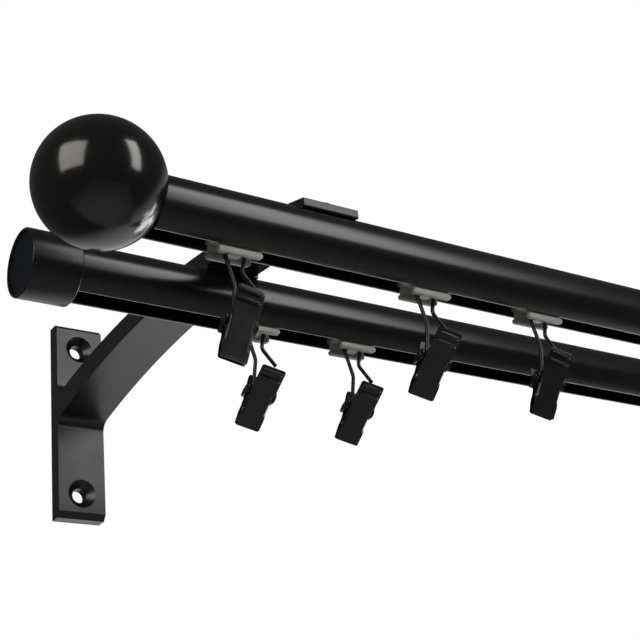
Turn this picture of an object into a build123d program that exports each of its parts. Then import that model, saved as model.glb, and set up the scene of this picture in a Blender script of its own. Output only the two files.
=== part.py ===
from build123d import *
import os
from math import asin, cos, degrees, radians, sin, sqrt

os.makedirs("parts", exist_ok=True)

# Double curtain track on two cast brackets, millimetres, +Z up, +Y into the wall.
# The origin is the centre of the four wall holes, on the wall plane.

# Tubes: one extruded section with a gliding channel below and a closed chamber above
tube_radius = 12.5
tube_wall = 1.4
slot_width = 10.4
slot_lip_round = 0.4
ledge_drop = 8.7
web_top_drop = 1.7
web_thickness = 1.0
front_tube_length = 600.0
front_tube_reach = 240.0
front_tube_height = -13.9
front_slot_turn = 9.0
tube_spacing = 74.0
rear_tube_rise = 8.9
rear_slot_turn = 0.0
rear_tube_overhang = 16.9

# Brackets: an upright wall plate and a curved, tapering arm cast in one
bracket_inset = 76.0
bracket_width = 25.6
plate_height = 107.5
plate_thickness = 8.7
hole_pitch = 81.0
plate_top_margin = 13.25
screw_hole_radius = 3.8
countersink_radius = 7.5
plate_top_bevel = 2.3
plate_bottom_bevel = 3.2
arm_root_top = 12.1
arm_root_under = -1.0
arm_top_over_tube = 3.9
arm_under_over_tube = -0.5
arm_top_radius = 520.0
arm_under_radius = 540.0
arm_tip_overhang = 9.3
arm_root_fillet = 6.0
arm_edge_round = 0.7
seat_width = 12.0
seat_depth = 0.6

# Clamp screws and nuts that hold the tubes under the arms
clamp_screw_radius = 2.5
clamp_screw_play = 0.25
clamp_head_radius = 4.5
clamp_head_height = 2.2
clamp_recess_depth = 2.0
clamp_thread_fit = 0.05
clamp_key_size = 3.0
clamp_key_depth = 1.6
nut_length = 12.0
nut_width = 9.0
nut_thickness = 2.4
nut_top_drop = 0.2

# Ball finials on the front tube
ball_radius = 24.8
ball_standoff = 19.6
ball_rise = 4.2
socket_play = 0.1
plug_length = 22.0
plug_play = 0.15
stud_radius = 1.5
stud_fit = 0.05
stud_in_ball = 11.0
stud_in_plug = 16.0

# Push-on caps on the rear tube
cap_radius = 14.6
cap_length = 21.7
cap_end_wall = 3.2
cap_play = 0.1
cap_recess_inset = 1.2
cap_recess_depth = 1.0
cap_edge_round = 0.7

# Gliders
glider_length = 18.7
glider_play = 0.15
glider_head_width = 12.4
glider_head_height = 3.3
glider_neck_play = 0.35
glider_wall = 1.45
glider_flange_width = 11.8
glider_flange_gap = 0.28
glider_flange_height = 2.35
glider_end_round = 0.9
glider_web_end_play = 0.2
glider_web_drop = 12.9
hook_axis_drop = 10.9

# Wire hooks
wire_radius = 0.85
hook_fit = 0.08
hook_half_width = 4.65
hook_corner_radius = 1.7
hook_waist_x = 2.7
hook_waist_drop = 8.6
hook_tail_x = 9.4
hook_tail_drop = 16.2
hook_leg_x = -0.8
hook_leg_drop = 14.6
hook_bend_radius = 3.0
pin_drop = 30.2
clip_offset = 0.2
pin_roll = 15.0
pin_turn = -6.0
eye_offset = -3.6
eye_fit = 0.08

# Two-jaw clips, drawn about the pivot pin with their length upright
clip_width = 11.2
clip_plate = 1.2
clip_corner_round = 1.5
clip_top = 13.0
clip_tip = 15.0
clip_grip_height = 2.5
clip_jaw_gap = 0.5
front_jaw_bulge = 3.8
front_jaw_top_spread = 5.8
back_jaw_bulge = 3.8
back_handle_spread = 7.2
back_handle_rise = 5.4
rib_height = 1.2
rib_proud = 0.5
rib_width = 8.8
rib_drops = (2.1, 5.5)
pin_radius = 0.8
pin_fit = 0.06
pin_head_radius = 1.3
pin_head_height = 0.5
lug_thickness = 0.9
lug_gap = 0.25
front_lug_radius = 2.2
back_lug_radius = 2.6
spring_wire_radius = 0.35
spring_coil_radius = 1.75
spring_turns = 5
spring_start = -0.9
spring_back_leg = 4.2
spring_front_leg = 2.0

# Where the gliders stand, from their tube's left end, and how far each clip is swung on its pin
front_glider_places = (36.3, 126.5, 188.0)
front_clip_swings = (3.0, 33.0, 16.0)
rear_glider_places = (105.3, 156.8)
rear_clip_swings = (38.0, 36.0)

# Values that follow from the sizes above
inner_radius = tube_radius - tube_wall
front_tube_y = -front_tube_reach
rear_tube_y = front_tube_y + tube_spacing
rear_tube_height = front_tube_height + rear_tube_rise
rear_tube_length = front_tube_length + 2 * rear_tube_overhang
bracket_x = front_tube_length / 2 - bracket_inset
front_frame = Location((0, front_tube_y, front_tube_height), (front_slot_turn, 0, 0))
rear_frame = Location((0, rear_tube_y, rear_tube_height), (rear_slot_turn, 0, 0))


def rod(radius, x0, x1, y=0.0, z=0.0):
    # Round bar along X from x0 to x1
    return Pos((x0 + x1) / 2, y, z) * Rot(0, 90, 0) * Cylinder(radius, x1 - x0)


def block(x0, x1, y0, y1, z0, z1):
    # Plain block between two corners
    box = Box(x1 - x0, y1 - y0, z1 - z0)
    return Pos((x0 + x1) / 2, (y0 + y1) / 2, (z0 + z1) / 2) * box


def section_box(y0, y1, z0, z1):
    # Rectangle of a cross-section drawn in Y and Z
    return Pos((y0 + y1) / 2, (z0 + z1) / 2) * Rectangle(y1 - y0, z1 - z0)


def along_x(section, length):
    # Cross-section in Y and Z drawn out to both sides of x = 0
    return extrude(Plane.YZ * section, length / 2, both=True)


# Extruded tube section
def tube_section():
    inner = Circle(inner_radius)
    span = 2 * tube_radius
    web_under = -web_top_drop - web_thickness
    channel = inner & section_box(-span, span, -ledge_drop, web_under)
    chamber = inner & section_box(-span, span, -web_top_drop, span)
    slot = section_box(-slot_width / 2, slot_width / 2, -span, -ledge_drop + 1)
    section = Circle(tube_radius) - channel - chamber - slot
    lips = [
        v for v in section.vertices()
        if abs(abs(v.X) - slot_width / 2) < 0.01 and v.Y < -ledge_drop - 0.5
    ]
    return fillet(lips, slot_lip_round)


def tube(length):
    body = along_x(tube_section(), length)
    hole_radius = clamp_screw_radius + clamp_screw_play
    for side in (-1, 1):
        hole = Cylinder(hole_radius, 2 * tube_wall + 2)
        body -= Pos(side * bracket_x, 0, inner_radius + tube_wall / 2) * hole
    return body


# Bracket casting
def arc_height(y, root_height, over_tube, radius):
    # Height at y of the arc that runs from the plate to a point over the front tube's crown
    root = Vector(-plate_thickness, root_height)
    end = Vector(front_tube_y, front_tube_height + tube_radius + over_tube)
    chord = end - root
    half = chord.length / 2
    side = Vector(chord.Y, -chord.X) / chord.length
    centre = (root + end) / 2 - side * sqrt(radius**2 - half**2)
    return centre.Y + sqrt(radius**2 - (y - centre.X) ** 2)


def arm_top(y):
    return arc_height(y, arm_root_top, arm_top_over_tube, arm_top_radius)


def arm_under(y):
    return arc_height(y, arm_root_under, arm_under_over_tube, arm_under_radius)


arm_tip_y = front_tube_y - arm_tip_overhang


def bracket():
    root_y = -plate_thickness
    mid_y = (root_y + arm_tip_y) / 2
    top = ThreePointArc(
        (root_y, arm_top(root_y)),
        (mid_y, arm_top(mid_y)),
        (arm_tip_y, arm_top(arm_tip_y)),
    )
    under = ThreePointArc(
        (arm_tip_y, arm_under(arm_tip_y)),
        (mid_y, arm_under(mid_y)),
        (root_y, arm_under(root_y)),
    )
    tip = Line(top @ 1, under @ 0)
    back = Line(under @ 1, top @ 0)
    arm = along_x(make_face([top, tip, under, back]), bracket_width)
    rounded = arm.edges().filter_by(Axis.X)
    rounded = [e for e in rounded if e.center().Y < root_y - 1]
    arm = fillet(rounded, arm_edge_round)
    half = bracket_width / 2
    plate_top = hole_pitch / 2 + plate_top_margin
    plate = block(-half, half, root_y, 0, plate_top - plate_height, plate_top)
    front_edges = plate.edges().filter_by(Axis.X).group_by(Axis.Y)[0]
    plate = chamfer(front_edges.sort_by(Axis.Z)[-1], plate_top_bevel)
    front_edges = plate.edges().filter_by(Axis.X).group_by(Axis.Y)[0]
    plate = chamfer(front_edges.sort_by(Axis.Z)[0], plate_bottom_bevel, plate_top_bevel)
    casting = plate + arm
    corner = [
        e for e in casting.edges().filter_by(Axis.X)
        if abs(e.center().Y - root_y) < 0.01 and abs(e.center().Z) < hole_pitch / 4
    ]
    casting = fillet(corner, arm_root_fillet)
    # Seats that meet the tubes
    for frame, y, z in (
        (front_frame, front_tube_y, front_tube_height),
        (rear_frame, rear_tube_y, rear_tube_height),
    ):
        low = z + tube_radius - seat_depth
        high = arm_under(y) + 2
        casting += block(-half, half, y - seat_width / 2, y + seat_width / 2, low, high)
    for frame, y, z in (
        (front_frame, front_tube_y, front_tube_height),
        (rear_frame, rear_tube_y, rear_tube_height),
    ):
        casting -= frame * rod(tube_radius, -bracket_width, bracket_width)
        hole_radius = clamp_screw_radius + clamp_screw_play
        hole = Cylinder(hole_radius, 2 * tube_radius)
        casting -= frame * Pos(0, 0, 2 * tube_radius - 2 * tube_wall) * hole
        seat = head_seat(y, z)
        recess = Cylinder(clamp_head_radius + clamp_screw_play, tube_radius)
        casting -= frame * Pos(0, 0, seat + tube_radius / 2) * recess
    # Countersunk wall holes
    sink_depth = countersink_radius - screw_hole_radius
    for side in (-1, 1):
        z = side * hole_pitch / 2
        casting -= Pos(0, root_y / 2, z) * Rot(90, 0, 0) * Cylinder(screw_hole_radius, 2 * plate_thickness)
        cone = Cone(screw_hole_radius, countersink_radius, sink_depth)
        casting -= Pos(0, root_y + sink_depth / 2, z) * Rot(90, 0, 0) * cone
    return casting


def head_seat(y, z):
    # Height of a clamp screw's seat above the tube axis
    return arm_top(y) - z - clamp_recess_depth


# Clamp screws and nuts, in the frame of their tube
nut_top = sqrt(inner_radius**2 - (nut_width / 2) ** 2) - nut_top_drop
nut_low = nut_top - nut_thickness


def clamp_screw(y, z):
    seat = head_seat(y, z)
    end = nut_low - 0.8
    shank = Pos(0, 0, (seat + end) / 2) * Cylinder(clamp_screw_radius, seat - end)
    head = Pos(0, 0, seat + clamp_head_height / 2) * Cylinder(clamp_head_radius, clamp_head_height)
    head = fillet(head.edges().sort_by(Axis.Z)[-1], 0.6)
    key = extrude(RegularPolygon(clamp_key_size / 2, 6, major_radius=False), clamp_key_depth)
    screw = head + shank
    return screw - Pos(0, 0, seat + clamp_head_height - clamp_key_depth) * key


def clamp_nut():
    body = Pos(0, 0, (nut_top + nut_low) / 2) * Box(nut_length, nut_width, nut_thickness)
    return body - Cylinder(clamp_screw_radius + clamp_thread_fit, 4 * tube_radius)


# Ball finial, its plug and its stud, at the left end in the front tube's frame
def ball(end):
    x = end - ball_standoff
    body = Pos(x, 0, ball_rise) * Sphere(ball_radius)
    body -= rod(tube_radius + socket_play, end, end + ball_radius)
    hole_end = end - stud_in_ball
    return body - rod(stud_radius + stud_fit, hole_end, end + 1, 0, ball_rise)


def finial_plug(end):
    section = Circle(inner_radius - plug_play)
    low = -web_top_drop + plug_play
    section = section & section_box(-tube_radius, tube_radius, low, tube_radius)
    body = Pos(end + plug_length / 2, 0, 0) * along_x(section, plug_length)
    return body - rod(stud_radius + stud_fit, end - 1, end + plug_length + 1, 0, ball_rise)


def finial_stud(end):
    return rod(stud_radius, end - stud_in_ball, end + stud_in_plug, 0, ball_rise)


# Push-on cap at the left end, in the rear tube's frame
def cap(end):
    outer = end - cap_end_wall
    body = rod(cap_radius, outer, outer + cap_length)
    rims = body.edges().filter_by(GeomType.CIRCLE)
    body = fillet(rims, cap_edge_round)
    body -= rod(tube_radius + cap_play, end, outer + cap_length + 1)
    return body - rod(cap_radius - cap_recess_inset, outer - 1, outer + cap_recess_depth)


# Glider, in the frame of its tube with x = 0 at its middle
def glider():
    head_low = -ledge_drop + glider_play
    head_top = head_low + glider_head_height
    lip_drop = sqrt(tube_radius**2 - (slot_width / 2) ** 2)
    flange_top = -lip_drop - glider_flange_gap
    flange_low = flange_top - glider_flange_height
    neck = slot_width / 2 - glider_neck_play
    section = section_box(-glider_head_width / 2, glider_head_width / 2, head_low, head_top)
    for side in (-1, 1):
        wall = section_box(neck - glider_wall, neck, flange_low, head_top)
        flange = section_box(neck - glider_wall, glider_flange_width / 2, flange_low, flange_top)
        half = wall + flange
        section += half if side > 0 else mirror(half, Plane.YZ)
    body = along_x(section, glider_length)
    reach = glider_flange_width / 2 - 0.05
    ends = [
        e for e in body.edges().filter_by(Axis.Z)
        if abs(e.center().Y) > reach and abs(e.center().X) > glider_length / 2 - 0.01
    ]
    body = fillet(ends, glider_end_round)
    web_end = hook_half_width - hook_corner_radius - glider_web_end_play
    body += block(
        -web_end, web_end,
        -neck + glider_wall / 2, neck - glider_wall / 2,
        -glider_web_drop, head_low + 0.5,
    )
    return body - rod(wire_radius + hook_fit, -glider_length, glider_length, 0, -hook_axis_drop)


# Wire hook, with its cross bar on the X axis and the legs hanging down
eye_radius = pin_radius + eye_fit + wire_radius
pin_frame = Location((clip_offset, 0, -pin_drop), (0, pin_roll, pin_turn))


def wire_hook():
    eye_place = pin_frame * Pos(eye_offset, 0, 0)
    centre = eye_place.position
    axis = (eye_place * Pos(1, 0, 0)).position - centre
    up = Vector(0, 0, 1) - axis * axis.Z
    top = centre + up.normalized() * eye_radius
    points = [
        (hook_tail_x, 0, -hook_tail_drop),
        (hook_waist_x, 0, -hook_waist_drop),
        (hook_half_width, 0, 0),
        (-hook_half_width, 0, 0),
        (hook_leg_x, 0, -hook_leg_drop),
        (top.X, top.Y, top.Z),
    ]
    radii = [hook_bend_radius, hook_corner_radius, hook_corner_radius, 2 * hook_bend_radius]
    path = FilletPolyline(*points, radius=radii)
    section = Plane(origin=path @ 0, z_dir=path % 0) * Circle(wire_radius)
    leg = sweep(section, path=path)
    eye = eye_place * Rot(0, 90, 0) * Torus(eye_radius, wire_radius)
    tail = Pos(*(path @ 0)) * Sphere(wire_radius)
    return leg + eye + tail


# Jaws of the clip, in the clip's frame
def plate_from(line, half_thickness):
    # Bent plate whose middle line is given as points in Y and Z
    outer = [(y - half_thickness, z) for y, z in line]
    inner = [(y + half_thickness, z) for y, z in reversed(line)]
    section = make_face(Polyline(*outer, *inner, close=True))
    return along_x(section, clip_width)


def jaw_outline(low, high):
    # Rounded outline that trims a jaw as seen from the front
    shape = RectangleRounded(clip_width, high - low, clip_corner_round)
    return Pos(0, 0, (low + high) / 2) * extrude(Plane.XZ * shape, 4 * clip_top, both=True)


grip_y = (clip_plate + clip_jaw_gap) / 2
grip_top = -clip_tip + clip_grip_height
front_line = [
    (-grip_y, -clip_tip),
    (-grip_y, grip_top),
    (-front_jaw_bulge + 0.9, grip_top + 3.5),
    (-front_jaw_bulge, -2.0),
    (-front_jaw_bulge - 0.6, 3.0),
    (-(front_jaw_bulge + front_jaw_top_spread) / 2 - 0.3, 9.0),
    (-front_jaw_top_spread, clip_top),
]
back_line = [
    (grip_y, -clip_tip),
    (grip_y, grip_top),
    (back_jaw_bulge - 1.0, grip_top + 3.5),
    (back_jaw_bulge, -2.5),
    (back_jaw_bulge + 1.6, 1.6),
    (back_handle_spread, back_handle_rise),
]


def lug(radius, plate_y, z0, z1, x0, x1):
    # Side lug from a jaw plate round the pin
    edge = section_box(plate_y - 0.3, plate_y + 0.3, z0, z1)
    section = make_hull(Circle(radius).edges() + edge.edges())
    return Pos((x0 + x1) / 2, 0, 0) * along_x(section, x1 - x0)


def front_jaw():
    body = plate_from(front_line, clip_plate / 2) & jaw_outline(-clip_tip, clip_top)
    top = Vector(0, front_line[-1][0], front_line[-1][1])
    lower = Vector(0, front_line[-2][0], front_line[-2][1])
    fall = (lower - top).normalized()
    for drop in rib_drops:
        place = top + fall * drop
        y = place.Y - clip_plate / 2
        tilt = degrees(asin(-fall.Y))
        rib = Box(rib_width, 2 * rib_proud, rib_height)
        body += Pos(0, y, place.Z) * Rot(-tilt, 0, 0) * rib
    outer = clip_width / 2 - 0.05
    for side in (-1, 1):
        x0, x1 = sorted((side * outer, side * (outer - lug_thickness)))
        body += lug(front_lug_radius, -front_jaw_bulge, -3.2, 2.6, x0, x1)
    return body - rod(pin_radius + pin_fit, -clip_width, clip_width)


flange_inner = clip_width / 2 + lug_gap
flange_outer = flange_inner + lug_thickness


def back_jaw():
    body = plate_from(back_line, clip_plate / 2) & jaw_outline(-clip_tip, back_handle_rise)
    wide = block(
        -flange_outer, flange_outer,
        back_jaw_bulge - clip_plate / 2 + 0.1, back_jaw_bulge + clip_plate / 2 + 0.1, -4.4, -1.2,
    )
    body += wide
    for side in (-1, 1):
        x0, x1 = sorted((side * flange_inner, side * flange_outer))
        body += lug(back_lug_radius, back_jaw_bulge + 0.1, -4.4, -1.2, x0, x1)
    return body - rod(pin_radius + pin_fit, -2 * clip_width, 2 * clip_width)


def pivot_pin():
    half = flange_outer + pin_fit
    body = rod(pin_radius, -half - pin_head_height, half + pin_head_height)
    for side in (-1, 1):
        x0, x1 = sorted((side * half, side * (half + pin_head_height)))
        body += rod(pin_head_radius, x0, x1)
    return body


def clip_spring():
    pitch = 1.94 * spring_wire_radius
    length = spring_turns * pitch
    coil_half = Rectangle(0.3, length)
    for turn in range(spring_turns):
        coil_half += Pos(0, (turn + 0.5) * pitch - length / 2) * Circle(spring_wire_radius)
    section = Plane.XZ * Pos(spring_coil_radius, 0) * coil_half
    body = Pos(spring_start + length / 2, 0, 0) * Rot(0, 90, 0) * revolve(section, Axis.Z)
    corner = spring_coil_radius * sin(radians(45))
    first = spring_start + pitch / 2
    last = spring_start + length - pitch / 2
    for x, side, reach in ((last, 1, spring_back_leg), (first, -1, spring_front_leg)):
        leg = Pos(0, 0, reach / 2) * Cylinder(0.9 * spring_wire_radius, reach)
        body += Pos(x, side * corner, -corner) * Rot(-side * 45, 0, 0) * leg
    return body


# Everything in place
def save(shape, name):
    export_step(shape, "parts/" + name + ".step")


front_end = -front_tube_length / 2
rear_end = -rear_tube_length / 2
flip = Plane.YZ
frames_at = ((front_frame, front_tube_y, front_tube_height), (rear_frame, rear_tube_y, rear_tube_height))

casting = bracket()
save(Pos(-bracket_x, 0, 0) * casting, "bracket_left")
save(Pos(bracket_x, 0, 0) * casting, "bracket_right")
save(front_frame * tube(front_tube_length), "front_tube")
save(rear_frame * tube(rear_tube_length), "rear_tube")

end_pieces = (
    ("ball", front_frame, ball(front_end)),
    ("finial_plug", front_frame, finial_plug(front_end)),
    ("finial_stud", front_frame, finial_stud(front_end)),
    ("end_cap", rear_frame, cap(rear_end)),
)
for name, frame, piece in end_pieces:
    save(frame * piece, name + "_left")
    save(frame * mirror(piece, flip), name + "_right")

screws = []
nuts = []
for side in (-1, 1):
    for frame, y, z in frames_at:
        screws.append(frame * Pos(side * bracket_x, 0, 0) * clamp_screw(y, z))
        nuts.append(frame * Pos(side * bracket_x, 0, 0) * clamp_nut())
save(Compound(children=screws), "clamp_screws")
save(Compound(children=nuts), "clamp_nuts")

glider_piece = glider()
hook_piece = wire_hook()
clip_pieces = (
    ("clip_front_jaw", front_jaw()),
    ("clip_back_jaw", back_jaw()),
    ("clip_pin", pivot_pin()),
    ("clip_spring", clip_spring()),
)
rows = (
    ("front", front_frame, front_end, front_glider_places, front_clip_swings),
    ("rear", rear_frame, rear_end, rear_glider_places, rear_clip_swings),
)
for row, frame, end, places, swings in rows:
    for number, (place, swing) in enumerate(zip(places, swings), 1):
        x = end + place
        label = row + "_" + str(number) + "_"
        save(frame * Pos(x, 0, 0) * glider_piece, label + "glider")
        hang = (frame * Pos(x, 0, -hook_axis_drop)).position
        hook_frame = Pos(hang.X, hang.Y, hang.Z)
        save(hook_frame * hook_piece, label + "wire_hook")
        for name, piece in clip_pieces:
            save(hook_frame * pin_frame * Rot(swing, 0, 0) * piece, label + name)
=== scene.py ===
import logging
from dataclasses import dataclass, field
from enum import Enum
from math import atan2, cos, pi, radians, sin, sqrt, tan
from typing import Iterable, Optional, Union

import bmesh
import bpy
from mathutils import Matrix, Vector


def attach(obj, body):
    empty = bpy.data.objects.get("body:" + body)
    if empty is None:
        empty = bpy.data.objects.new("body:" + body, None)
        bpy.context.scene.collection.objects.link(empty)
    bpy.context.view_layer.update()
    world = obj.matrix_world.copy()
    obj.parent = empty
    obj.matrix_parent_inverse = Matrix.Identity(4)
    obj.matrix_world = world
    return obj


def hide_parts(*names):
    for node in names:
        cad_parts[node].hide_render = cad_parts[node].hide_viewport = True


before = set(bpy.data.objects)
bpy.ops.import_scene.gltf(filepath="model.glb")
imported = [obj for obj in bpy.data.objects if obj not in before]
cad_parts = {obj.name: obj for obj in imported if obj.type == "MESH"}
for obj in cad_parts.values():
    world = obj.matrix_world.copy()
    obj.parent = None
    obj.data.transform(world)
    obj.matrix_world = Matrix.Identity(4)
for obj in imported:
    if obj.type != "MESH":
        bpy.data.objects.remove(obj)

log = logging.getLogger("curtain_track")
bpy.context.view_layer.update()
MM = 0.001
# Points that lie closer than this, in metres, become one.
WELD = 1e-6
# Sheet edges that bend by more than this, in degrees, get a rounding.
RIM_ANGLE = 55.0

Number = Union[int, float]


class Side(Enum):
    """The two ends of the track."""

    LEFT = -1
    RIGHT = 1

    @property
    def word(self) -> str:
        """The ending that this side's nodes carry."""
        return self.name.lower()


class Row(Enum):
    """The two tubes, by the name that their gliders carry."""

    FRONT = "front"
    REAR = "rear"


class Tap:
    """A shader socket that takes part in Python arithmetic."""

    def __init__(self, graph: "Graph", socket: bpy.types.NodeSocket) -> None:
        """Wraps one output socket of a graph.

        Args:
            graph: the graph that the socket belongs to.
            socket: the output socket.
        """
        self.graph = graph
        self.socket = socket

    def _math(self, operation: str, first: object, second: object) -> "Tap":
        """Adds one Math node.

        Args:
            operation: the Math node's operation.
            first: the first number or tap.
            second: the second number or tap.

        Returns:
            The node's result.
        """
        return self.graph.node("ShaderNodeMath", {"operation": operation}, {0: first, 1: second})

    def __add__(self, other: object) -> "Tap":
        """Sum."""
        return self._math("ADD", self, other)

    def __radd__(self, other: object) -> "Tap":
        """Sum with a number on the left."""
        return self._math("ADD", other, self)

    def __rsub__(self, other: object) -> "Tap":
        """Difference with a number on the left."""
        return self._math("SUBTRACT", other, self)

    def __mul__(self, other: object) -> "Tap":
        """Product."""
        return self._math("MULTIPLY", self, other)

    def __rmul__(self, other: object) -> "Tap":
        """Product with a number on the left."""
        return self._math("MULTIPLY", other, self)

    def __pow__(self, other: object) -> "Tap":
        """Power."""
        return self._math("POWER", self, other)


class Graph:
    """The node tree of one material, with one method that makes its nodes."""

    MIX_LOW, MIX_HIGH, MIX_RESULT = 6, 7, 2

    def __init__(self, name: str) -> None:
        """Starts an empty material.

        Args:
            name: the material's name.
        """
        self.material = bpy.data.materials.new(name)
        self.material.use_nodes = True
        self.tree = self.material.node_tree
        self.tree.nodes.clear()

    @classmethod
    def of_tree(cls, tree: bpy.types.NodeTree) -> "Graph":
        """Takes over a node tree that is not a material's, and empties it.

        Args:
            tree: the tree.

        Returns:
            A graph on that tree.
        """
        graph = cls.__new__(cls)
        graph.material = None
        graph.tree = tree
        tree.nodes.clear()
        return graph

    def node(self, kind: str, settings: dict, inputs: dict, output: Union[int, str] = 0) -> Tap:
        """Adds a node.

        Args:
            kind: the node's type.
            settings: its properties, which are set first. "stops" gives a ramp's stops.
            inputs: values or taps by socket name or number.
            output: the output socket that the tap wraps.

        Returns:
            The chosen output.
        """
        made = self.tree.nodes.new(kind)
        for key, value in settings.items():
            if key == "stops":
                self._set_stops(made, value)
            else:
                setattr(made, key, value)
        for key, value in inputs.items():
            socket = made.inputs[key]
            if isinstance(value, Tap):
                self.tree.links.new(value.socket, socket)
            else:
                socket.default_value = value
        return Tap(self, made.outputs[output])

    @staticmethod
    def _set_stops(made: bpy.types.Node, stops: Iterable[tuple]) -> None:
        """Gives a colour ramp its stops.

        Args:
            made: the ramp node.
            stops: pairs of position and colour.
        """
        ramp = made.color_ramp
        for index, (place, colour) in enumerate(stops):
            stop = ramp.elements[index] if index < 2 else ramp.elements.new(place)
            stop.position = place
            stop.color = colour

    def place(self, scale: tuple = (1.0, 1.0, 1.0)) -> Tap:
        """Object coordinates, stretched by a scale.

        Args:
            scale: the factor along each axis.

        Returns:
            The coordinate vector.
        """
        raw = self.node("ShaderNodeTexCoord", {}, {}, "Object")
        return self.node("ShaderNodeMapping", {}, {"Vector": raw, "Scale": scale})

    def noise(self, place: Tap, scale: Number, detail: Number = 3.0) -> Tap:
        """Noise between 0 and 1.

        Args:
            place: the coordinate vector.
            scale: grains per metre.
            detail: octaves.

        Returns:
            The noise value.
        """
        inputs = {"Vector": place, "Scale": scale, "Detail": detail}
        return self.node("ShaderNodeTexNoise", {}, inputs)

    def blend(self, factor: Tap, low: tuple, high: tuple) -> Tap:
        """Mixes two colours.

        Args:
            factor: 0 for the first, 1 for the second.
            low: the first colour.
            high: the second colour.

        Returns:
            The mixed colour.
        """
        inputs = {0: factor, self.MIX_LOW: (*low, 1.0), self.MIX_HIGH: (*high, 1.0)}
        return self.node("ShaderNodeMix", {"data_type": "RGBA"}, inputs, self.MIX_RESULT)

    def bump(self, height: Tap, depth: Number, strength: Number = 1.0) -> Tap:
        """Turns a height into a normal.

        Args:
            height: the height value.
            depth: metres for a height of 1.
            strength: how much of it shows.

        Returns:
            The normal.
        """
        inputs = {"Height": height, "Distance": depth, "Strength": strength}
        return self.node("ShaderNodeBump", {}, inputs)

    def surface(self, inputs: dict) -> bpy.types.Material:
        """Ends the tree in a Principled surface.

        Args:
            inputs: the surface's values and taps.

        Returns:
            The material.
        """
        shader = self.node("ShaderNodeBsdfPrincipled", {}, inputs)
        out = self.tree.nodes.new("ShaderNodeOutputMaterial")
        self.tree.links.new(shader.socket, out.inputs[0])
        return self.material


@dataclass(frozen=True)
class Layer:
    """One noise of a finish: its grain, and what it does to the gloss and the relief.

    The scale is in grains per metre, the depth of the relief in metres. The dull is what it
    adds to the roughness, the gain how fast it mixes the tones.
    """

    scale: float
    octaves: float = 3.0
    dull: float = 0.0
    depth: float = 0.0
    show: float = 1.0
    stretch: tuple = (1.0, 1.0, 1.0)
    rarity: float = 1.0
    gain: float = 1.0

    def tap(self, graph: Graph) -> Tap:
        """The layer's value. A high rarity leaves only its peaks.

        Args:
            graph: the material that it goes into.

        Returns:
            The value.
        """
        value = graph.noise(graph.place(self.stretch), self.scale, self.octaves)
        return value if self.rarity == 1.0 else value ** self.rarity


@dataclass(frozen=True)
class Finish:
    """Two tones and a gloss that a cloud mixes, with a fine relief over them.

    The smoothest is the least roughness. The values are further inputs of the surface.
    """

    name: str
    tones: tuple
    smoothest: float
    cloud: Layer
    relief: Optional[Layer] = None
    specular: float = 0.5
    values: dict = field(default_factory=dict)

    def make(self) -> bpy.types.Material:
        """Builds the material."""
        graph = Graph(self.name)
        cloud = self.cloud.tap(graph)
        rough = self.smoothest + cloud * self.cloud.dull
        inputs = {"Specular IOR Level": self.specular, **self.values}
        inputs["Base Color"] = graph.blend(cloud * self.cloud.gain, *self.tones)
        if self.relief:
            relief = self.relief.tap(graph)
            rough = rough + relief * self.relief.dull
            inputs["Normal"] = graph.bump(relief, self.relief.depth, self.relief.show)
        inputs["Roughness"] = rough
        return graph.surface(inputs)


def grey(dark: float, light: float) -> tuple:
    """Two neutral tones, for the cloud to mix."""
    return (dark,) * 3, (light,) * 3


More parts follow.
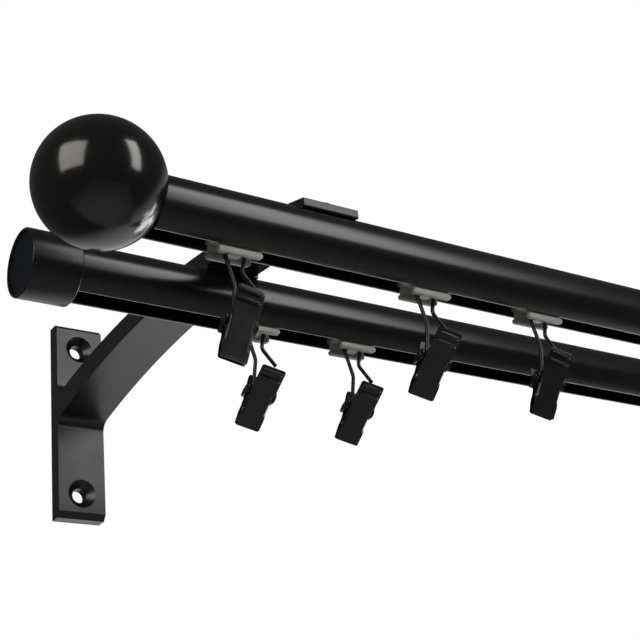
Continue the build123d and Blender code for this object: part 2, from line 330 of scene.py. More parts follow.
class Finishes:
    """The finishes of the object, each made once."""

    def __init__(self) -> None:
        """Builds every material."""
        metal = {"Metallic": 1.0}
        milk = {
            "Subsurface Weight": 0.5, "Subsurface Scale": 0.003,
            "Subsurface Radius": (1.0, 0.97, 0.92),
        }
        moulded = (Layer(90.0, dull=0.10), Layer(1900.0, 2.0, depth=0.00003, show=0.5))
        lacquer = (Layer(220.0, dull=0.12), Layer(900.0, 2.0, depth=0.00003, show=0.15))
        plated = Layer(400.0, dull=0.15)
        black = ((0.0040, 0.0038, 0.0036), (0.0080, 0.0076, 0.0070))
        self.casting = Finish(
            "satin_powder_coat", ((0.0040, 0.0041, 0.0042), (0.0066, 0.0067, 0.0066)), 0.28,
            Layer(60.0, dull=0.12), Layer(1500.0, 2.0, depth=0.00006, show=0.5), 0.56,
        ).make()
        drawn_lines = Layer(1.0, 2.0, 0.05, 0.00002, 0.35, stretch=(2.0, 900.0, 900.0))
        self.tube = Finish(
            "satin_tube_coat", ((0.0042, 0.0041, 0.0038), (0.0070, 0.0068, 0.0062)), 0.20,
            Layer(35.0, dull=0.04), drawn_lines,
        ).make()
        # Painted highlight: bright bare metal on the lips' round edges, in place of the highlight
        # line along them.
        lip_highlight_tones = ((0.16, 0.16, 0.15), (0.46, 0.45, 0.43))
        self.lip = Finish("lip_highlight_metal", lip_highlight_tones, 0.28, plated, values=metal).make()
        self.ball = Finish(
            "gloss_lacquer", ((0.0034, 0.0034, 0.0034), (0.0070, 0.0068, 0.0062)), 0.13,
            Layer(900.0, dull=0.5, rarity=6.0, gain=6.0), Layer(70.0, 2.0, 0.03, 0.00012, 0.2),
            0.62,
        ).make()
        self.cap = Finish(
            "cap_moulding", ((0.0045, 0.0044, 0.0042), (0.0075, 0.0073, 0.0068)), 0.23,
            *moulded, 0.40,
        ).make()
        self.disc = Finish(
            "cap_end_face", ((0.0024, 0.0050, 0.0100), (0.0036, 0.0080, 0.0160)), 0.40,
            *moulded, 0.15,
        ).make()
        self.plug = Finish("plug_moulding", grey(0.012, 0.018), 0.45, *moulded).make()
        self.screw = Finish("black_oxide", grey(0.010, 0.016), 0.33, *lacquer, 0.55).make()
        self.glider = Finish(
            "milky_plastic", ((0.43, 0.415, 0.385), (0.55, 0.535, 0.50)), 0.37,
            Layer(160.0, 4.0, 0.16), Layer(1400.0, 2.0, depth=0.00004, show=0.4), values=milk,
        ).make()
        self.wire = Finish("wire_lacquer", black, 0.26, *lacquer, 0.55).make()
        self.clip = Finish("clip_lacquer", black, 0.26, *lacquer, 0.55).make()
        self.pin = Finish("pin_lacquer", grey(0.012, 0.030), 0.17, *lacquer).make()
        zinc = ((0.42, 0.42, 0.43), (0.62, 0.62, 0.60))
        self.zinc = Finish("zinc_steel", zinc, 0.28, plated, values=metal).make()


def dress(node: str, *finishes: bpy.types.Material) -> None:
    """Gives a CAD node its finish.

    Args:
        node: the node's name.
        finishes: the materials for its slots.
    """
    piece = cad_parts[node]
    piece.data.materials.clear()
    for finish in finishes:
        piece.data.materials.append(finish)


def as_object(mesh: bmesh.types.BMesh, name: str) -> bpy.types.Object:
    """Turns a bmesh into an object of the scene.

    Args:
        mesh: the shape. It is freed.
        name: the object's name.

    Returns:
        The new object.
    """
    data = bpy.data.meshes.new(name)
    mesh.to_mesh(data)
    mesh.free()
    made = bpy.data.objects.new(name, data)
    bpy.context.scene.collection.objects.link(made)
    return made


def finished(mesh: bmesh.types.BMesh, name: str, finishes: Iterable[bpy.types.Material],
             body: str, smooth: float = 35.0) -> bpy.types.Object:
    """Turns a bmesh into a piece that rides on a body.

    Args:
        mesh: the shape, in metres, in its place. It is freed.
        name: the piece's name.
        finishes: its materials, by face index.
        body: the body that it rides on.
        smooth: edges sharper than this many degrees stay sharp.

    Returns:
        The new object.
    """
    bmesh.ops.remove_doubles(mesh, verts=mesh.verts[:], dist=WELD)
    bmesh.ops.recalc_face_normals(mesh, faces=mesh.faces[:])
    limit = radians(smooth)
    for face in mesh.faces:
        face.smooth = True
    for edge in mesh.edges:
        edge.smooth = len(edge.link_faces) == 2 and edge.calc_face_angle(0.0) < limit
    piece = as_object(mesh, name)
    for finish in finishes:
        piece.data.materials.append(finish)
    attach(piece, body)
    return piece


def turned(profile: Iterable[tuple], frame_at: Matrix, steps: int = 96) -> bmesh.types.BMesh:
    """A shape of revolution about the X axis.

    Args:
        profile: points of x and radius, in millimetres, from axis to axis.
        frame_at: where the shape goes, in metres.
        steps: facets round the turn.

    Returns:
        The closed shape.
    """
    mesh = bmesh.new()
    verts = [mesh.verts.new((x * MM, 0.0, r * MM)) for x, r in profile]
    edges = [mesh.edges.new(pair) for pair in zip(verts, verts[1:])]
    bmesh.ops.spin(
        mesh, geom=verts + edges, cent=(0, 0, 0), axis=(1, 0, 0), angle=2 * pi,
        steps=steps, use_merge=True,
    )
    bmesh.ops.remove_doubles(mesh, verts=mesh.verts[:], dist=WELD / 10)
    bmesh.ops.transform(mesh, matrix=frame_at, verts=mesh.verts[:])
    return mesh


def arc(cx: float, cr: float, radius: float, start: float, end: float, count: int) -> list:
    """Points on an arc of a turned profile.

    Args:
        cx: the centre's x.
        cr: the centre's distance from the axis.
        radius: the arc's radius.
        start: first angle in degrees, from +x towards +radius.
        end: last angle in degrees.
        count: number of steps.

    Returns:
        Pairs of x and radius.
    """
    steps = [radians(start + (end - start) * k / count) for k in range(count + 1)]
    return [(cx + radius * cos(a), max(cr + radius * sin(a), 0.0)) for a in steps]


@dataclass
class TubeFrame:
    """Where a tube lies: its axis and the turn of its slot, in millimetres and degrees."""

    y: float
    z: float
    slot_turn: float
    half_length: float

    def matrix(self) -> Matrix:
        """The tube's own frame, in metres."""
        move = Matrix.Translation((0.0, self.y * MM, self.z * MM))
        return move @ Matrix.Rotation(radians(self.slot_turn), 4, "X")


FRONT_TUBE = TubeFrame(-240.0, -13.9, 9.0, 300.0)
REAR_TUBE = TubeFrame(-166.0, -5.0, 0.0, 316.9)
TUBES = {Row.FRONT: FRONT_TUBE, Row.REAR: REAR_TUBE}


@dataclass
class Builder:
    """Makes the pieces of one kind. Its lengths are in millimetres."""

    finishes: Finishes


@dataclass
class BallFinial(Builder):
    """The gloss ball on an end of the front tube."""

    radius: float = 24.8
    standoff: float = 19.6
    raise_above_tube: float = 4.2
    socket_radius: float = 12.6
    rise_steps: int = 96
    turn_steps: int = 160

    def build(self, side: Side) -> bpy.types.Object:
        """Builds one ball with the round recess that takes the tube.

        Args:
            side: the end that it closes.

        Returns:
            The ball.
        """
        tube = FRONT_TUBE
        centre = side.value * (tube.half_length + self.standoff)
        profile = arc(0.0, 0.0, self.radius, 180.0, 0.0, self.rise_steps)
        place = tube.matrix() @ Matrix.Translation((centre * MM, 0.0, self.raise_above_tube * MM))
        mesh = turned(profile, place, self.turn_steps)
        name = f"ball_finial_{side.word}"
        ball = finished(mesh, name, [self.finishes.ball], "track", smooth=60.0)
        self._sink_tube_end(ball, side, tube)
        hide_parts(f"ball_{side.word}")
        return ball

    def _sink_tube_end(self, ball: bpy.types.Object, side: Side, tube: TubeFrame) -> None:
        """Cuts the socket for the tube's end out of the ball.

        Args:
            ball: the ball.
            side: the end that it closes.
            tube: the tube that enters it.
        """
        cutter_mesh = bmesh.new()
        depth = self.radius * MM
        middle = side.value * (tube.half_length * MM - depth / 2)
        turn = Matrix.Rotation(pi / 2, 4, "Y")
        place = tube.matrix() @ Matrix.Translation((middle, 0.0, 0.0)) @ turn
        bmesh.ops.create_cone(
            cutter_mesh, cap_ends=True, segments=self.rise_steps, depth=depth, matrix=place,
            radius1=self.socket_radius * MM, radius2=self.socket_radius * MM,
        )
        cutter = as_object(cutter_mesh, "socket_cutter")
        cut = ball.modifiers.new("socket", "BOOLEAN")
        cut.operation = "DIFFERENCE"
        cut.object = cutter
        cut.solver = "EXACT"
        graph = bpy.context.evaluated_depsgraph_get()
        result = bpy.data.meshes.new_from_object(ball.evaluated_get(graph))
        ball.modifiers.clear()
        ball.data = result
        bpy.data.objects.remove(cutter)


@dataclass
class EndCap(Builder):
    """The push-on cap on an end of the rear tube, with a flat, rimmed end face."""

    radius: float = 14.6
    length: float = 21.7
    end_wall: float = 3.2
    bore: float = 12.6
    rim_inset: float = 1.2
    recess: float = 1.0
    edge: float = 0.7
    edge_steps: int = 8
    turn_steps: int = 120
    recess_corner: float = 0.02
    recess_ring: float = 0.15
    rim_bevel: tuple = (0.12, 0.10)
    mouth_bevel: float = 0.12
    disc_band: float = 0.02

    def build(self, side: Side) -> bpy.types.Object:
        """Builds one cap.

        Args:
            side: the end that it closes.

        Returns:
            The cap.
        """
        outer = -(REAR_TUBE.half_length + self.end_wall)
        inner = outer + self.length
        disc = self.radius - self.rim_inset
        floor, wall = outer + self.recess, self.radius - self.edge
        profile = [
            (floor, 0.0), (floor, disc - self.recess_ring), (floor, disc - self.recess_corner),
            (outer + self.rim_bevel[0], disc),
            (outer + self.recess_corner, disc + self.rim_bevel[1]),
        ]
        profile += arc(outer + self.edge, wall, self.edge, 180.0, 90.0, self.edge_steps)
        profile += arc(inner - self.edge, wall, self.edge, 90.0, 0.0, self.edge_steps)
        profile += [
            (inner, self.bore + self.mouth_bevel), (inner - self.mouth_bevel, self.bore),
            (-REAR_TUBE.half_length, self.bore), (-REAR_TUBE.half_length, 0.0),
        ]
        if side is Side.RIGHT:
            profile = [(-x, r) for x, r in profile]
        mesh = turned(profile, REAR_TUBE.matrix(), self.turn_steps)
        for face in mesh.faces:
            beside = abs(face.calc_center_median().x) - abs(floor * MM)
            face.material_index = 1 if abs(beside) < self.disc_band * MM else 0
        name = f"push_on_cap_{side.word}"
        cap = finished(mesh, name, [self.finishes.cap, self.finishes.disc], "track", smooth=50.0)
        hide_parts(f"end_cap_{side.word}")
        return cap


@dataclass
class SlottedTube(Builder):
    """A round extruded tube with a slot, inner ledges and a closed upper chamber."""

    radius: float = 12.5
    wall: float = 1.4
    slot_width: float = 10.4
    lip_round: float = 0.4
    ledge_drop: float = 8.7
    web_under: float = 2.7
    steps: int = 120
    lip_steps: int = 6
    inner_steps: int = 8
    # How far round each lip the painted highlight finish reaches, in lip roundings.
    highlight_reach: float = 1.1

    def build(self, row: Row) -> bpy.types.Object:
        """Builds the outer skin, the lips and the gliding channel of one tube.

        Args:
            row: which tube.

        Returns:
            The tube.
        """
        tube = TUBES[row]
        mesh = bmesh.new()
        points = self._section()
        verts = [mesh.verts.new((-tube.half_length * MM, y * MM, z * MM)) for y, z in points]
        face = mesh.faces.new(verts)
        grown = bmesh.ops.extrude_face_region(mesh, geom=[face])
        moved = [v for v in grown["geom"] if isinstance(v, bmesh.types.BMVert)]
        bmesh.ops.translate(mesh, verts=moved, vec=(2 * tube.half_length * MM, 0.0, 0.0))
        # Paints the highlight onto the lips' round edges.
        self._paint_lip_highlight(mesh)
        bmesh.ops.transform(mesh, matrix=tube.matrix(), verts=mesh.verts[:])
        coats = [self.finishes.tube, self.finishes.lip]
        piece = finished(mesh, f"{row.value}_slotted_tube", coats, "track", smooth=40.0)
        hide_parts(f"{row.value}_tube")
        return piece

    def _lip_centre(self) -> tuple:
        """How far the centres of the lips' roundings lie beside and below the axis."""
        across = self.slot_width / 2 + self.lip_round
        return across, sqrt((self.radius - self.lip_round) ** 2 - across**2)

    def _paint_lip_highlight(self, mesh: bmesh.types.BMesh) -> None:
        """Gives the lips' round edges a bright bare-metal finish: painted highlight that stands in
        for the lips' highlight line.

        Args:
            mesh: the tube along its own axis, in metres.
        """
        across, drop = self._lip_centre()
        for face in mesh.faces:
            middle = face.calc_center_median() / MM
            away = sqrt((abs(middle.y) - across) ** 2 + (middle.z + drop) ** 2)
            face.material_index = 1 if away < self.highlight_reach * self.lip_round else 0

    def _section(self) -> list:
        """The outline of the section: round outside, gliding channel inside.

        Returns:
            Points of y and z in millimetres.
        """
        half = self.slot_width / 2
        across, drop = self._lip_centre()
        start = atan2(-drop, across)
        turns = [start + (pi - 2 * start) * k / self.steps for k in range(self.steps + 1)]
        outer = [(self.radius * cos(a), self.radius * sin(a)) for a in turns]
        inner_radius = self.radius - self.wall
        ledge = (sqrt(inner_radius**2 - self.ledge_drop**2), -self.ledge_drop)
        web = (sqrt(inner_radius**2 - self.web_under**2), -self.web_under)
        left_ledge, left_web = (-ledge[0], ledge[1]), (-web[0], web[1])
        channel = [(-half, ledge[1]), left_ledge]
        channel += self._inner_arc(inner_radius, left_ledge, left_web)
        channel += [left_web, web]
        channel += self._inner_arc(inner_radius, web, ledge)
        channel += [ledge, (half, ledge[1])]
        return outer + self._lip(-1) + channel + self._lip(1)

    def _lip(self, side: int) -> list:
        """The rounded edge of the slot on one side.

        Args:
            side: -1 or 1.

        Returns:
            Points from the outer skin to the slot wall for -1, the other way for 1.
        """
        across, drop = self._lip_centre()
        start = atan2(-drop, side * across)
        end = -pi if side > 0 else 0.0
        points = []
        for k in range(1, self.lip_steps + 1):
            angle = start + (end - start) * k / self.lip_steps
            y = side * across + self.lip_round * cos(angle)
            points.append((y, -drop + self.lip_round * sin(angle)))
        return points if side < 0 else points[::-1]

    def _inner_arc(self, radius: float, first: tuple, last: tuple) -> list:
        """Points between two points of the inner wall, ends left out.

        Args:
            radius: the inner wall's radius.
            first: y and z of the start.
            last: y and z of the end.

        Returns:
            Points of y and z.
        """
        start, end = atan2(first[1], first[0]), atan2(last[1], last[0])
        if end - start > pi:
            end -= 2 * pi
        if start - end > pi:
            end += 2 * pi
        count = self.inner_steps
        turns = [start + (end - start) * k / count for k in range(1, count)]
        return [(radius * cos(a), radius * sin(a)) for a in turns]


@dataclass(frozen=True)
class Lamp:
    """A soft lamp. Its way runs from the object: to the camera's right, up, towards the camera."""

    name: str
    way: tuple
    size: tuple
    power: float
    colour: tuple
    distance: float = 1.6


LAMPS = (
    Lamp("softbox_left", (-0.58, 0.61, 0.54), (1.05, 1.15), 14.5, (1.0, 0.94, 0.86)),
    Lamp("softbox_right", (0.74, 0.63, 0.13), (0.44, 1.30), 9.5, (0.99, 1.0, 0.95)),
    Lamp("panel_low", (0.62, -0.45, -0.64), (0.80, 0.80), 10.0, (1.0, 1.0, 1.0)),
)


@dataclass
class Studio:
    """The camera of the photograph, a white room and soft lamps."""

    camera_at: tuple = (-503.70, -627.83, -274.30)
    azimuth: float = 35.3495
    elevation: float = 25.4662
    roll: float = -5.9548
    lens: float = 77.316
    sensor: float = 36.0
    nearest: float = 0.01
    middle: tuple = (-205.0, -205.0, -20.0)
    day_level: float = 0.17
    room_glow: float = 0.08
    sheet_glow: float = 1.0
    sheet_way: tuple = (0.75, 0.58, -0.30)
    sheet_from: float = 0.55
    sheet_full: float = 0.93
    floor_at: tuple = (-0.5, -2.0, -2.0)
    floor_size: float = 2.2
    floor_coat: Finish = Finish(
        "pale_floor", ((0.78, 0.78, 0.77), (0.82, 0.82, 0.81)), 0.8, Layer(1.5)
    )

    def axes(self) -> tuple:
        """The camera's right, up and viewing directions."""
        a, e, roll = radians(self.azimuth), radians(self.elevation), radians(self.roll)
        ahead = Vector((sin(a) * cos(e), cos(a) * cos(e), sin(e)))
        flat = Vector((cos(a), -sin(a), 0.0))
        rise = flat.cross(ahead)
        right = cos(roll) * flat + sin(roll) * rise
        up = cos(roll) * rise - sin(roll) * flat
        return right, up, ahead

    def build(self) -> None:
        """Adds the camera, lamps, room and floor."""
        scene = bpy.context.scene
        scene.view_settings.view_transform = "Standard"
        right, up, ahead = self.axes()
        data = bpy.data.cameras.new("photo_camera")
        data.sensor_width = self.sensor
        data.lens = self.lens
        data.clip_start = self.nearest
        camera = bpy.data.objects.new("photo_camera", data)
        turn = Matrix((right, up, -ahead)).transposed().to_4x4()
        camera.matrix_world = Matrix.Translation(Vector(self.camera_at) * MM) @ turn
        scene.collection.objects.link(camera)
        scene.camera = camera
        for lamp in LAMPS:
            self._lamp(lamp, right * lamp.way[0] + up * lamp.way[1] - ahead * lamp.way[2])
        self._room()
        self._floor()

    def _lamp(self, lamp: Lamp, way: Vector) -> None:
        """Adds one soft lamp that looks at the object.

        Args:
            lamp: the lamp's size and light.
            way: direction from the object to the lamp, in the scene.
        """
        data = bpy.data.lights.new(lamp.name, "AREA")
        data.shape = "RECTANGLE"
        data.size, data.size_y = lamp.size
        data.energy = lamp.power
        data.color = lamp.colour
        made = bpy.data.objects.new(lamp.name, data)
        made.location = Vector(self.middle) * MM + way.normalized() * lamp.distance
        made.rotation_euler = (-way).to_track_quat("-Z", "Y").to_euler()
        bpy.context.scene.collection.objects.link(made)

    def _room(self) -> None:
        """Makes the room: white to the camera and behind the object, dim in front of it."""
        world = bpy.data.worlds.new("white_room")
        world.use_nodes = True
        bpy.context.scene.world = world
        graph = Graph.of_tree(world.node_tree)
        camera, glossy, through = (
            graph.node("ShaderNodeLightPath", {}, {}, name)
            for name in ("Is Camera Ray", "Is Glossy Ray", "Is Transmission Ray")
        )
        way = graph.node("ShaderNodeTexCoord", {}, {}, "Generated")
        towards = graph.node(
            "ShaderNodeVectorMath", {"operation": "DOT_PRODUCT"},
            {0: way, 1: Vector(self.sheet_way).normalized()}, "Value",
        )
        sheet = graph.node("ShaderNodeMapRange", {"interpolation_type": "SMOOTHSTEP"}, {
            "Value": towards, "From Min": self.sheet_from, "From Max": self.sheet_full,
        })
        shine = self.room_glow + sheet * (self.sheet_glow - self.room_glow)
        seen = camera + through
        rest = self.day_level * (1.0 - glossy) + glossy * shine
        level = seen + (1.0 - seen) * rest
        light = graph.node(
            "ShaderNodeBackground", {}, {"Color": (1.0, 1.0, 1.0, 1.0), "Strength": level}
        )
        out = graph.tree.nodes.new("ShaderNodeOutputWorld")
        graph.tree.links.new(light.socket, out.inputs[0])

    def _floor(self) -> None:
        """Adds a plain pale floor well below the track."""
        mesh = bmesh.new()
        place = Matrix.Translation(self.floor_at)
        bmesh.ops.create_grid(
            mesh, x_segments=1, y_segments=1, size=self.floor_size, matrix=place
        )
        floor = as_object(mesh, "floor")
        floor.data.materials.append(self.floor_coat.make())


@dataclass
class Bracket(Builder):
    """A cast bracket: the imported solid, its corners softened as a mould and paint do."""

    soft_edge: float = 0.45
    edge_steps: int = 3
    flat_angle: float = 1.0
    sharp_angle: float = 28.0

    def build(self, side: Side) -> bpy.types.Object:
        """Builds one bracket over its solid.

        Args:
            side: which bracket.

        Returns:
            The bracket.
        """
        node = f"bracket_{side.word}"
        mesh = bmesh.new()
        mesh.from_mesh(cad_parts[node].data)
        bmesh.ops.remove_doubles(mesh, verts=mesh.verts[:], dist=WELD)
        bmesh.ops.dissolve_limit(
            mesh, angle_limit=radians(self.flat_angle), verts=mesh.verts[:], edges=mesh.edges[:]
        )
        coats = [self.finishes.casting]
        piece = finished(mesh, f"cast_{node}", coats, "track", self.sharp_angle)
        soften = piece.modifiers.new("soft_edges", "BEVEL")
        soften.width = self.soft_edge * MM
        soften.segments = self.edge_steps
        soften.limit_method = "ANGLE"
        soften.angle_limit = radians(self.sharp_angle)
        soften.harden_normals = True
        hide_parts(node)
        return piece


def rounded_path(corners: list, radii: list, steps: int = 8) -> list:
    """A path of straight runs with round corners.

    Args:
        corners: the path's corners.
        radii: the bend radius at each inner corner.
        steps: points on each bend.

    Returns:
        The path's points.
    """
    path = [Vector(corners[0])]
    for before, here, after, radius in zip(corners, corners[1:], corners[2:], radii):
        back = (Vector(before) - Vector(here)).normalized()
        on = (Vector(after) - Vector(here)).normalized()
        half = back.angle(on) / 2
        centre = Vector(here) + (back + on).normalized() * (radius / sin(half))
        first = Vector(here) + back * (radius / tan(half)) - centre
        last = Vector(here) + on * (radius / tan(half)) - centre
        for k in range(steps + 1):
            path.append(centre + first.slerp(last, k / steps).normalized() * radius)
    path.append(Vector(corners[-1]))
    return path


def wire(paths: list, radius: float, at: Matrix, roundness: int = 5) -> bmesh.types.BMesh:
    """Round wire along paths.

    Args:
        paths: pairs of a list of points, in millimetres, and whether the path closes on itself.
        radius: the wire's radius.
        at: where the wire goes, in metres.
        roundness: the wire has four facets round it, and two more for each of these.

    Returns:
        The wire's skin.
    """
    curve = bpy.data.curves.new("wire_path", "CURVE")
    curve.dimensions = "3D"
    curve.bevel_depth = radius * MM
    curve.bevel_resolution = roundness
    curve.use_fill_caps = True
    for points, closed in paths:
        spline = curve.splines.new("POLY")
        spline.points.add(len(points) - 1)
        for knot, point in zip(spline.points, points):
            knot.co = (*(Vector(point) * MM), 1.0)
        spline.use_cyclic_u = closed
    holder = bpy.data.objects.new("wire_path", curve)
    skin = bpy.data.meshes.new_from_object(holder)
    mesh = bmesh.new()
    mesh.from_mesh(skin)
    bmesh.ops.transform(mesh, matrix=at, verts=mesh.verts[:])
    bpy.data.objects.remove(holder)
    bpy.data.meshes.remove(skin)
    return mesh


def joined(parts: Iterable[bmesh.types.BMesh]) -> bmesh.types.BMesh:
    """Puts several shapes into one mesh.

    Args:
        parts: the shapes. They are freed.

    Returns:
        One mesh with all of them.
    """
    whole = bmesh.new()
    for part in parts:
        data = bpy.data.meshes.new("part")
        part.to_mesh(data)
        part.free()
        whole.from_mesh(data)
        bpy.data.meshes.remove(data)
    return whole


def sharp_edges(mesh: bmesh.types.BMesh, angle: float) -> list:
    """The edges at which a mesh bends by more than an angle, in degrees."""
    return [e for e in mesh.edges if e.calc_face_angle(0.0) > radians(angle)]


def round_off(mesh: bmesh.types.BMesh, edges: list, size: float, steps: int,
              clamp: bool = False) -> None:
    """Rounds edges of a mesh.

    Args:
        mesh: the mesh.
        edges: the edges to round.
        size: the rounding's width, in millimetres.
        steps: its facets.
        clamp: keeps the roundings from overlapping.
    """
    bmesh.ops.bevel(
        mesh, geom=edges, offset=size * MM, segments=steps, profile=0.5,
        affect="EDGES", material=-1, clamp_overlap=clamp,
    )


def bar(size: tuple, middle: tuple, end_round: float, edge: float) -> bmesh.types.BMesh:
    """A moulded bar along X with rounded ends and soft edges.

    Args:
        size: length, width and height in millimetres.
        middle: the bar's middle.
        end_round: radius of its ends, seen from the front.
        edge: radius of its other edges.

    Returns:
        The bar.
    """
    mesh = bmesh.new()
    scale = Matrix.Diagonal((size[0] * MM, size[1] * MM, size[2] * MM, 1.0))
    place = Matrix.Translation(Vector(middle) * MM) @ scale
    bmesh.ops.create_cube(mesh, size=1.0, matrix=place)
    across = [
        e for e in mesh.edges
        if abs(e.verts[0].co.y - e.verts[1].co.y) > size[1] * MM / 2
    ]
    round_off(mesh, across, end_round, 6)
    round_off(mesh, sharp_edges(mesh, 50.0), edge, 3)
    return mesh


@dataclass
class Glider(Builder):
    """A moulded glider: a runner in the tube's channel and two cheeks that hold the wire."""

    length: float = 18.7
    runner: tuple = (12.4, 3.3)
    runner_low: float = -8.55
    cheek: float = 1.45
    cheek_out: float = 4.85
    flange_out: float = 5.9
    flange_top: float = -11.65
    flange_height: float = 2.35
    web_drop: float = 12.9
    web_half: float = 2.75
    cheek_short: float = 0.3
    cheek_sink: float = 0.6
    flange_sink: float = 0.15
    web_sink: tuple = (0.4, 0.5)
    runner_round: tuple = (1.0, 0.3)
    cheek_round: tuple = (0.8, 0.25)
    flange_round: tuple = (1.1, 0.3)
    web_round: tuple = (0.3, 0.15)

    def build(self, label: str, at: Matrix) -> bpy.types.Object:
        """Builds one glider.

        Args:
            label: the glider's row and number.
            at: the place of its middle on its tube's axis.

        Returns:
            The glider.
        """
        width, height = self.runner
        middle = self.runner_low + height / 2
        flange_low = self.flange_top - self.flange_height
        inside = self.cheek_out - self.cheek
        tall = self.runner_low + self.cheek_sink - flange_low
        cheek = (self.length - self.cheek_short, self.cheek, tall)
        wide = self.flange_out - inside + self.flange_sink
        flange = (self.length, wide, self.flange_height)
        parts = [bar((self.length, width, height), (0, 0, middle), *self.runner_round)]
        for side in (-1, 1):
            cheek_at = (0, side * (self.cheek_out - self.cheek / 2), flange_low + tall / 2)
            parts.append(bar(cheek, cheek_at, *self.cheek_round))
            flange_mid = side * (self.flange_out - wide / 2)
            flange_at = (0, flange_mid, flange_low + self.flange_height / 2)
            parts.append(bar(flange, flange_at, *self.flange_round))
        deep = self.web_drop + self.runner_low + self.web_sink[1]
        web = (2 * self.web_half, 2 * inside + self.web_sink[0], deep)
        parts.append(bar(web, (0, 0, -self.web_drop + deep / 2), *self.web_round))
        mesh = joined(parts)
        bmesh.ops.transform(mesh, matrix=at, verts=mesh.verts[:])
        name = f"{label}_moulded_glider"
        piece = finished(mesh, name, [self.finishes.glider], f"{label}_glider")
        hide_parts(f"{label}_glider")
        return piece


@dataclass
class WireHook(Builder):
    """The bent wire that hangs in a glider and ends in an eye round the clip's pin."""

    wire_radius: float = 0.85
    half_width: float = 4.65
    waist: tuple = (2.7, 8.6)
    tail: tuple = (9.4, 16.2)
    leg: tuple = (-0.8, 14.6)
    eye_radius: float = 1.73
    eye_offset: float = -3.6
    eye_steps: int = 32
    bends: tuple = (3.0, 1.7, 1.7, 6.0)

    def build(self, label: str, at: Matrix, pin: Matrix) -> bpy.types.Object:
        """Builds one hook.

        Args:
            label: the glider's row and number.
            at: the hook's own frame, with its cross bar on the X axis.
            pin: the pin's frame seen from the hook's, in metres.

        Returns:
            The hook.
        """
        centre = pin @ Vector((self.eye_offset * MM, 0, 0)) / MM
        along = (pin.to_3x3() @ Vector((1, 0, 0))).normalized()
        up = (Vector((0, 0, 1)) - along * along.z).normalized()
        side = along.cross(up)
        top = centre + up * self.eye_radius
        corners = [
            (self.tail[0], 0, -self.tail[1]), (self.waist[0], 0, -self.waist[1]),
            (self.half_width, 0, 0), (-self.half_width, 0, 0),
            (self.leg[0], 0, -self.leg[1]), tuple(top),
        ]
        path = rounded_path(corners, self.bends)
        turns = [2 * pi * k / self.eye_steps for k in range(self.eye_steps)]
        ring = [centre + (up * cos(a) + side * sin(a)) * self.eye_radius for a in turns]
        mesh = wire([(path, False), (ring, True)], self.wire_radius, at)
        name = f"{label}_bent_wire_hook"
        piece = finished(mesh, name, [self.finishes.wire], f"{label}_hook", smooth=45.0)
        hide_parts(f"{label}_wire_hook")
        return piece


@dataclass
class BentStrip:
    """A pressed strip: its line from tip to handle, its outline and its turned-in edges."""

    line: tuple
    width: float = 11.2
    thickness: float = 1.2
    corner: float = 0.8
    rim: float = 0.22
    kink_reach: float = 1.2
    turn_in: float = 1.5
    turn_sign: int = 1
    turn_from: float = -10.0
    turn_to: float = 3.5
    turn_band: float = 1.3
    turn_fade: float = 3.0
    cells: tuple = (28, 56)

    def lengths(self) -> list:
        """The run from the tip to each point of the line."""
        runs = [0.0]
        for (y0, z0), (y1, z1) in zip(self.line, self.line[1:]):
            runs.append(runs[-1] + sqrt((y1 - y0) ** 2 + (z1 - z0) ** 2))
        return runs

    def at(self, run: float) -> tuple:
        """The middle line's point at a run from the tip, with its kinks rounded.

        Args:
            run: distance from the tip.

        Returns:
            Its y and z.
        """
        runs = self.lengths()
        total = [0.0, 0.0]
        reach = self.kink_reach
        shifts = [reach * k / 3 for k in range(-3, 4)]
        room = min(1.0, run / reach, (runs[-1] - run) / reach)
        for shift in shifts:
            here = run + shift * max(room, 0.0)
            index = min(sum(1 for r in runs[1:-1] if r < here), len(runs) - 2)
            part = (here - runs[index]) / (runs[index + 1] - runs[index])
            for axis in (0, 1):
                low, high = self.line[index][axis], self.line[index + 1][axis]
                total[axis] += (low + (high - low) * part) / len(shifts)
        return total[0], total[1]

    def build(self) -> bmesh.types.BMesh:
        """Bends a flat grid along the line and gives it its thickness."""
        mesh = bmesh.new()
        wide, long = self.cells
        bmesh.ops.create_grid(mesh, x_segments=wide, y_segments=long, size=0.5)
        whole = self.lengths()[-1]
        for vert in mesh.verts:
            across = max(-1.0, min(1.0, 2 * vert.co.x))
            run = (vert.co.y + 0.5) * whole
            end = min(run, whole - run)
            cut = 0.0
            if end < self.corner:
                cut = self.corner - sqrt(max(self.corner**2 - (self.corner - end) ** 2, 0.0))
            y, z = self.at(run)
            half = self.width / 2 - cut
            turn = self._turn(abs(across) * half, z)
            vert.co = Vector((across * half, y + self.turn_sign * turn, z)) * MM
        bmesh.ops.solidify(mesh, geom=mesh.faces[:], thickness=self.thickness * MM)
        bmesh.ops.recalc_face_normals(mesh, faces=mesh.faces[:])
        round_off(mesh, sharp_edges(mesh, RIM_ANGLE), self.rim, 2, clamp=True)
        return mesh

    def _turn(self, x: float, z: float) -> float:
        """How far the strip's edge is turned in at a place.

        Args:
            x: distance from the middle line.
            z: height along the clip.

        Returns:
            The offset in millimetres.
        """
        near = max(0.0, (x - (self.width / 2 - self.turn_band)) / self.turn_band)
        low = min(1.0, max(0.0, (z - self.turn_from) / self.turn_fade))
        high = min(1.0, max(0.0, (self.turn_to - z) / self.turn_fade))
        return self.turn_in * near**2 * low * high


